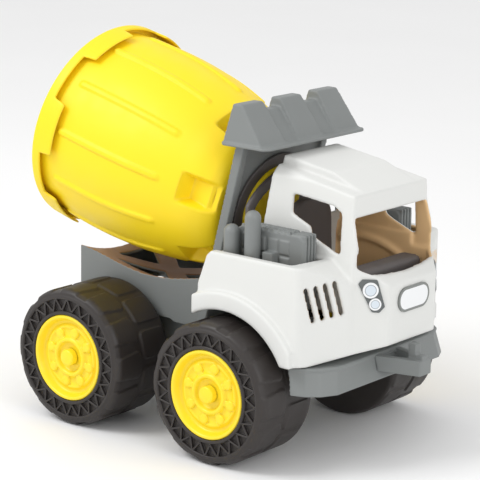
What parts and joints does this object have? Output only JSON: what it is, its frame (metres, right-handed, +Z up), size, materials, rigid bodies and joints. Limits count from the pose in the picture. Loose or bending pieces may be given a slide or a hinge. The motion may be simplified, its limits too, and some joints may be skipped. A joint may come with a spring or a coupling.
{
  "type": "toy cement mixer",
  "caption": "Moulded plastic toy cement mixer truck with a tilted pail drum that turns and lifts off, open cab, free-rolling wide wheels and a light hood.",
  "frame": {"origin": "middle of the footprint box on the floor under the tyres", "axes": "+X forward from the drum's mouth to the bumper, +Y to the truck's left, +Z up"},
  "size_m": [0.341, 0.23, 0.2975],
  "materials": {
    "drum_yellow": "satin moulded",
    "hub_yellow": "satin moulded",
    "cab_white": "fine matt mould texture",
    "frame_grey": "fine matt mould texture",
    "dark_grey": "matt moulded",
    "tyre_plastic": "blow moulded, matt",
    "badge_label": "printed label, plain",
    "lamp_label": "printed label",
    "lamp_silver": "printed label, silver",
    "axle_steel": "drawn rod",
    "screw_steel": "zinc plated"
  },
  "bodies": {
    "truck": {"chassis": "frame_grey", "rear_bed": "frame_grey", "cab_shell": "cab_white", "front_bumper": "frame_grey", "tow_hitch": "frame_grey", "drum_frame": "frame_grey", "light_hood": "frame_grey", "seat_unit": "dark_grey", "dash_console": "dark_grey", "badge_plate": "badge_label", "body_screws": "screw_steel", "rear_axle": "axle_steel", "front_axle": "axle_steel", "rear_axle_caps": "hub_yellow", "front_axle_caps": "hub_yellow", "engine_block_right": "frame_grey", "tall_exhaust_right": "frame_grey", "short_exhaust_right": "frame_grey", "lamp_panel_right": "lamp_label", "lamp_lenses_right": "lamp_silver", "engine_block_left": "frame_grey", "tall_exhaust_left": "frame_grey", "short_exhaust_left": "frame_grey", "lamp_panel_left": "lamp_label", "lamp_lenses_left": "lamp_silver"},
    "wheel_rear_right": {"tyre_rear_right": "tyre_plastic", "hub_rear_right": "hub_yellow"},
    "wheel_rear_left": {"tyre_rear_left": "tyre_plastic", "hub_rear_left": "hub_yellow"},
    "wheel_front_right": {"tyre_front_right": "tyre_plastic", "hub_front_right": "hub_yellow"},
    "wheel_front_left": {"tyre_front_left": "tyre_plastic", "hub_front_left": "hub_yellow"},
    "turntable": {"drum_turntable": "dark_grey"},
    "drum": {"mixer_drum": "drum_yellow"}
  },
  "joints": [
    {"name": "rear_right_wheel_spin", "type": "hinge", "parent": "truck", "child": "wheel_rear_right", "pos_m": [-0.08646, -0.083, 0.054], "axis": [0, 1, 0], "continuous": true},
    {"name": "rear_left_wheel_spin", "type": "hinge", "parent": "truck", "child": "wheel_rear_left", "pos_m": [-0.08646, 0.083, 0.054], "axis": [0, 1, 0], "continuous": true},
    {"name": "front_right_wheel_spin", "type": "hinge", "parent": "truck", "child": "wheel_front_right", "pos_m": [0.05354, -0.083, 0.054], "axis": [0, 1, 0], "continuous": true},
    {"name": "front_left_wheel_spin", "type": "hinge", "parent": "truck", "child": "wheel_front_left", "pos_m": [0.05354, 0.083, 0.054], "axis": [0, 1, 0], "continuous": true},
    {"name": "drum_spin", "type": "hinge", "parent": "truck", "child": "turntable", "pos_m": [-0.15046, 0, 0.217], "axis": [0.9703, 0, -0.2419], "continuous": true},
    {"name": "drum_lift", "type": "slide", "parent": "turntable", "child": "drum", "axis": [-0.9703, 0, 0.2419], "range_m": [0, 0.06]}
  ]
}
